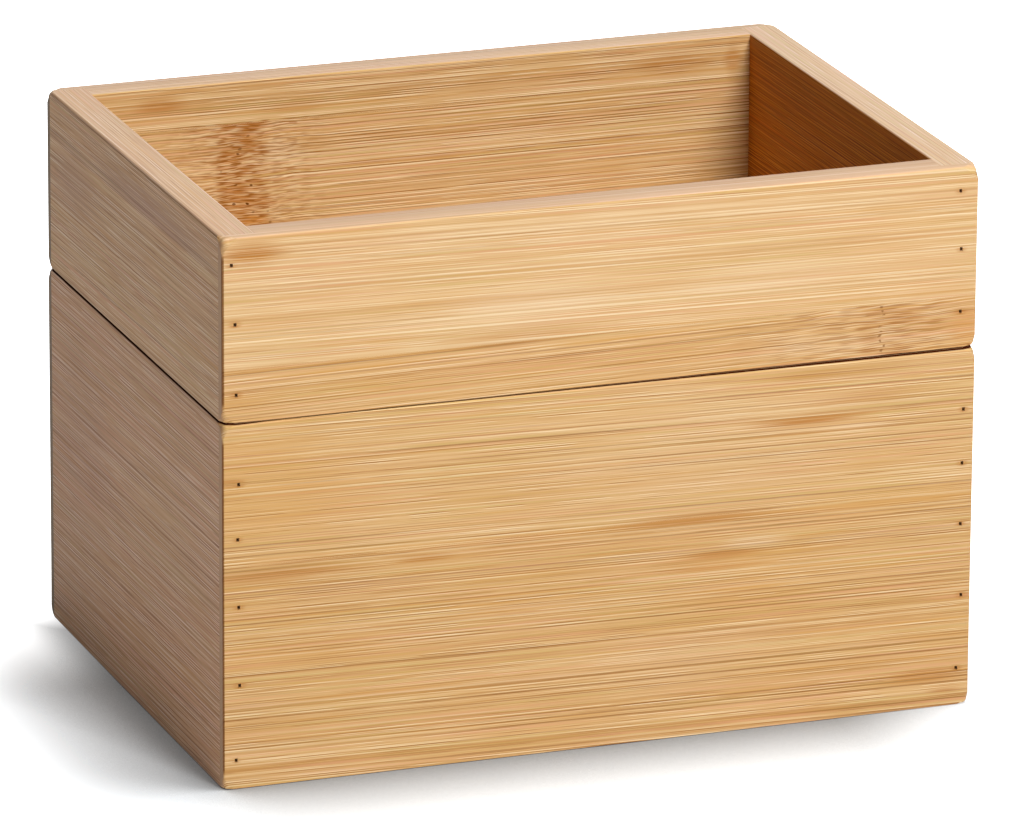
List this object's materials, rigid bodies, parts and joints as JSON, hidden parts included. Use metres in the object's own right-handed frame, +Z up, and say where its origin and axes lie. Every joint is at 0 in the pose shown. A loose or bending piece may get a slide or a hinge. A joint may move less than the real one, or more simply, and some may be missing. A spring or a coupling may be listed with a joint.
{
  "type": "card box with lift-off tray",
  "caption": "Two-part bamboo storage box: a deep open base for standing cards, and a shallow tray of the same footprint that closes it as a lid and lifts straight off.",
  "frame": {"origin": "centre of the base's footprint, on the surface that the box stands on", "axes": "+X along the front to the viewer's right, -Y is the front, +Z up out of the tray"},
  "size_m": [0.21, 0.15, 0.15],
  "materials": {
    "bamboo_board": "natural bamboo, planed and finely sanded, satin clear coat, fine straight grain along each board",
    "bamboo_floor": "natural bamboo, sanded, satin clear coat, grain along the box's width",
    "brad_steel": "flattened steel wire, heads driven below the surface"
  },
  "bodies": {
    "base": {"base_front_board": "bamboo_board", "base_back_board": "bamboo_board", "base_left_board": "bamboo_board", "base_right_board": "bamboo_board", "base_floor": "bamboo_floor", "base_brads_front_left": "brad_steel", "base_brads_front_right": "brad_steel", "base_brads_back_left": "brad_steel", "base_brads_back_right": "brad_steel", "base_floor_brads": "brad_steel"},
    "tray": {"tray_front_board": "bamboo_board", "tray_back_board": "bamboo_board", "tray_left_board": "bamboo_board", "tray_right_board": "bamboo_board", "tray_floor": "bamboo_floor", "tray_locating_board": "bamboo_floor", "tray_brads_front_left": "brad_steel", "tray_brads_front_right": "brad_steel", "tray_brads_back_left": "brad_steel", "tray_brads_back_right": "brad_steel", "tray_floor_brads": "brad_steel"}
  },
  "joints": [
    {"name": "tray_lift", "type": "slide", "parent": "base", "child": "tray", "axis": [0, 0, 1], "range_m": [0, 0.1]}
  ]
}
